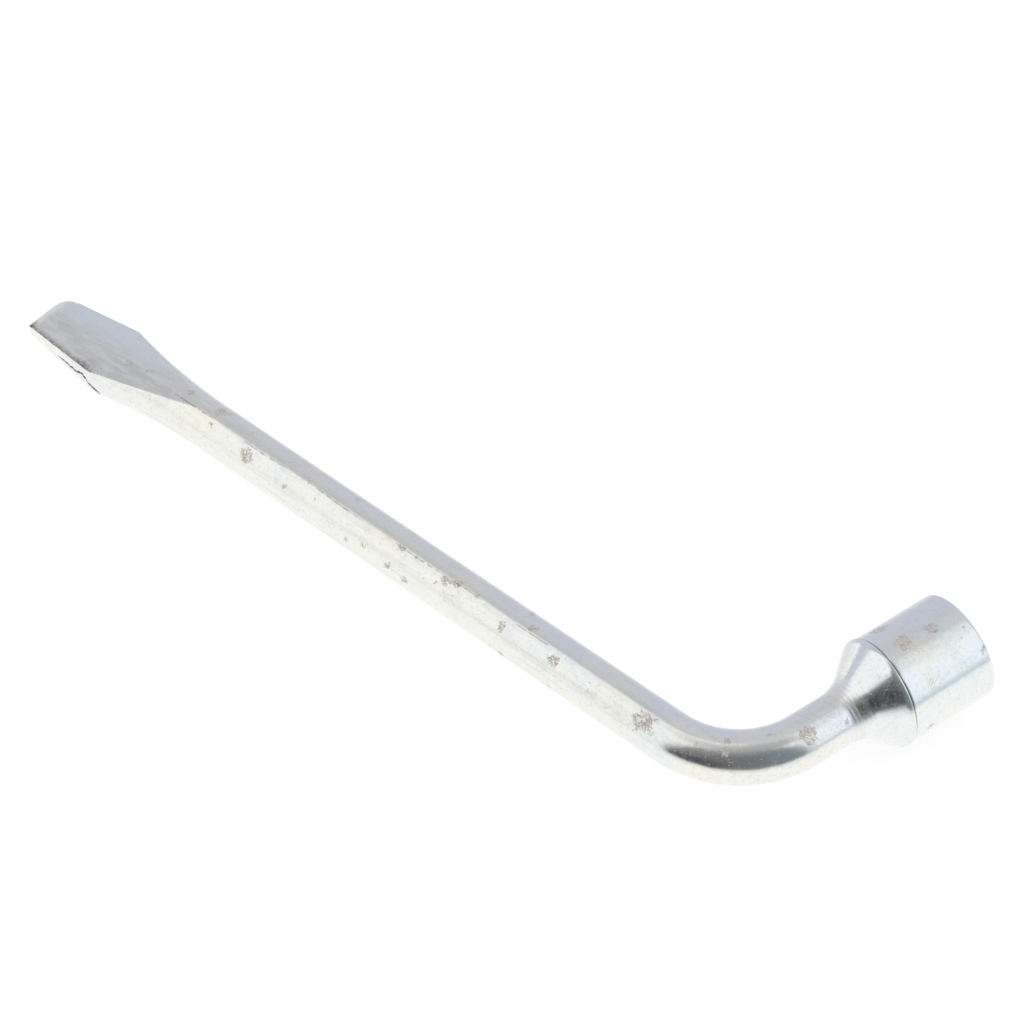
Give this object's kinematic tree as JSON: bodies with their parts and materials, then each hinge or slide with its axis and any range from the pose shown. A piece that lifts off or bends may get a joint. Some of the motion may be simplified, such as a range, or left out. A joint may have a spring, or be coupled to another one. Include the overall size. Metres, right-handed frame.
{
  "type": "lug wrench",
  "caption": "L-shaped steel lug wrench: a bent round bar with a forged flat pry blade at the long end and a hex socket welded to the short end.",
  "frame": {"origin": "centre of the bottom of the bounding box, with both arms' centrelines in one horizontal plane", "axes": "+Y along the socket's axis, out of its mouth; the long arm and its blade point towards -X and slightly -Y; +Z is square to the plane of the two arms"},
  "size_m": [0.2628, 0.1428, 0.0298],
  "materials": {
    "zinc_bar": "bright blue-white zinc plating over drawn bar, lightly pitted and scratched",
    "zinc_weld": "bright zinc plating over fine turned ridges",
    "zinc_socket": "bright blue-white zinc plating over a turned surface"
  },
  "bodies": {
    "root": {"handle_bar": "zinc_bar", "neck_weld": "zinc_weld", "socket_head": "zinc_socket"}
  },
  "joints": []
}
